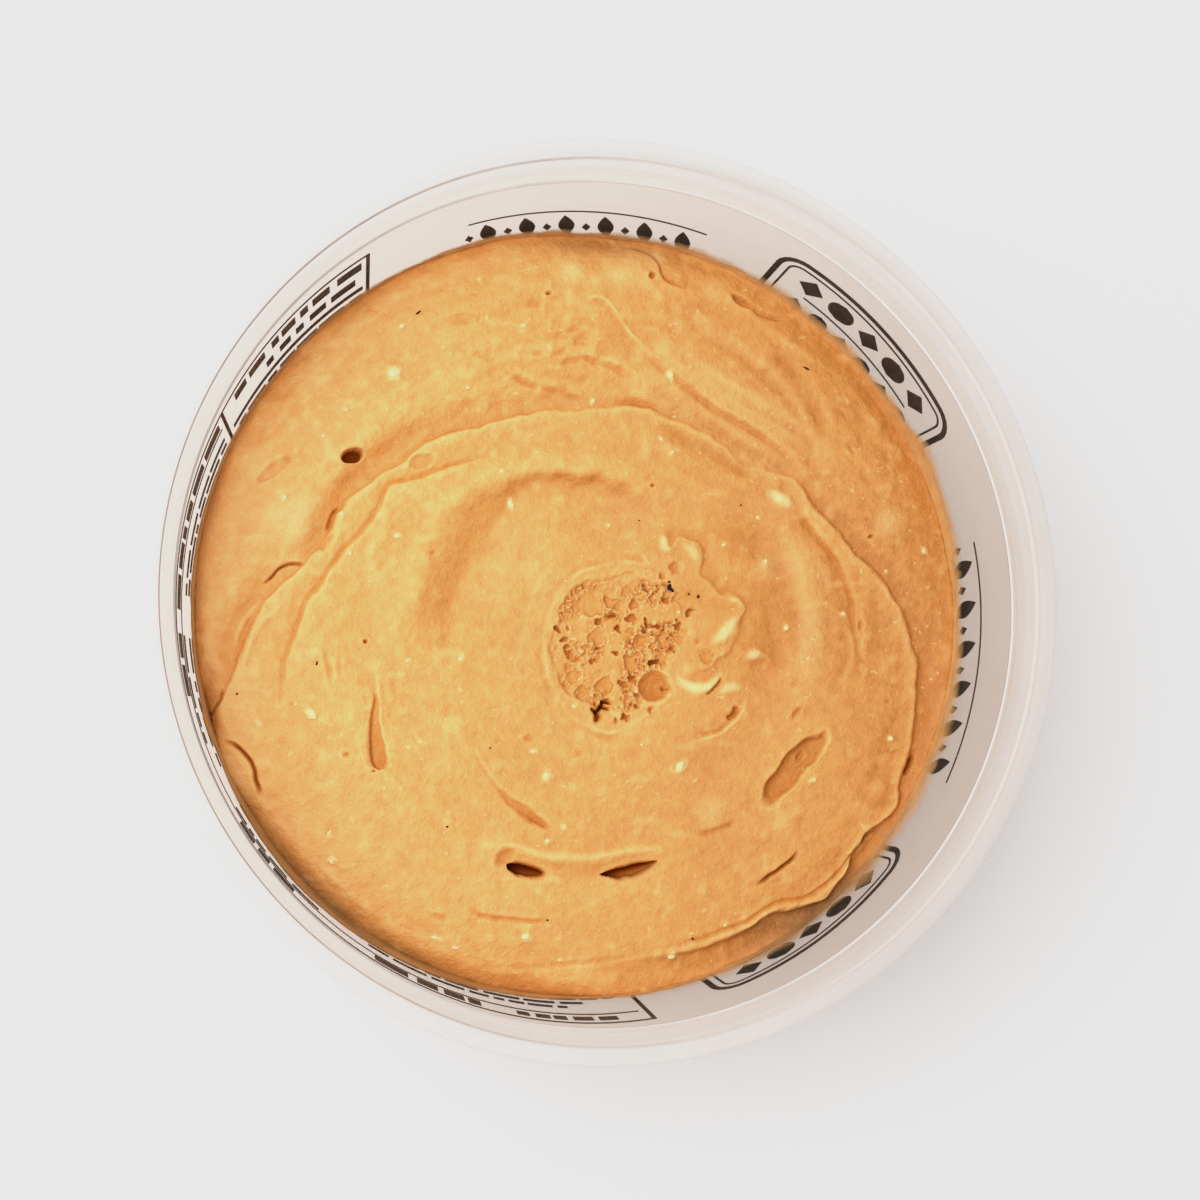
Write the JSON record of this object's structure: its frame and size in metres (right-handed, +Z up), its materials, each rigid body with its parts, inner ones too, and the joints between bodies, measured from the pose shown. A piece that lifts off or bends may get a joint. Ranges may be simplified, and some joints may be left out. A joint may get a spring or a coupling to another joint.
{
  "type": "tub of cheese spread",
  "caption": "Round translucent plastic tub without its lid, filled to well below the rim with a swirled orange-amber cheese spread.",
  "frame": {"origin": "on the tub's axis at the level of its foot ring", "axes": "+Z up along the tub's axis, towards the rim"},
  "size_m": [0.117, 0.117, 0.061],
  "materials": {
    "frosted_plastic": "thin milky translucent polypropylene, satin",
    "cheese_spread": "moist smooth paste with swirls, tears and a foamy patch",
    "curd": "soft pale curd bits",
    "speck": "fine dark specks",
    "print": "thin black ink on the outside of the wall"
  },
  "bodies": {
    "root": {"tub": "frosted_plastic", "spread": "cheese_spread"}
  },
  "joints": []
}
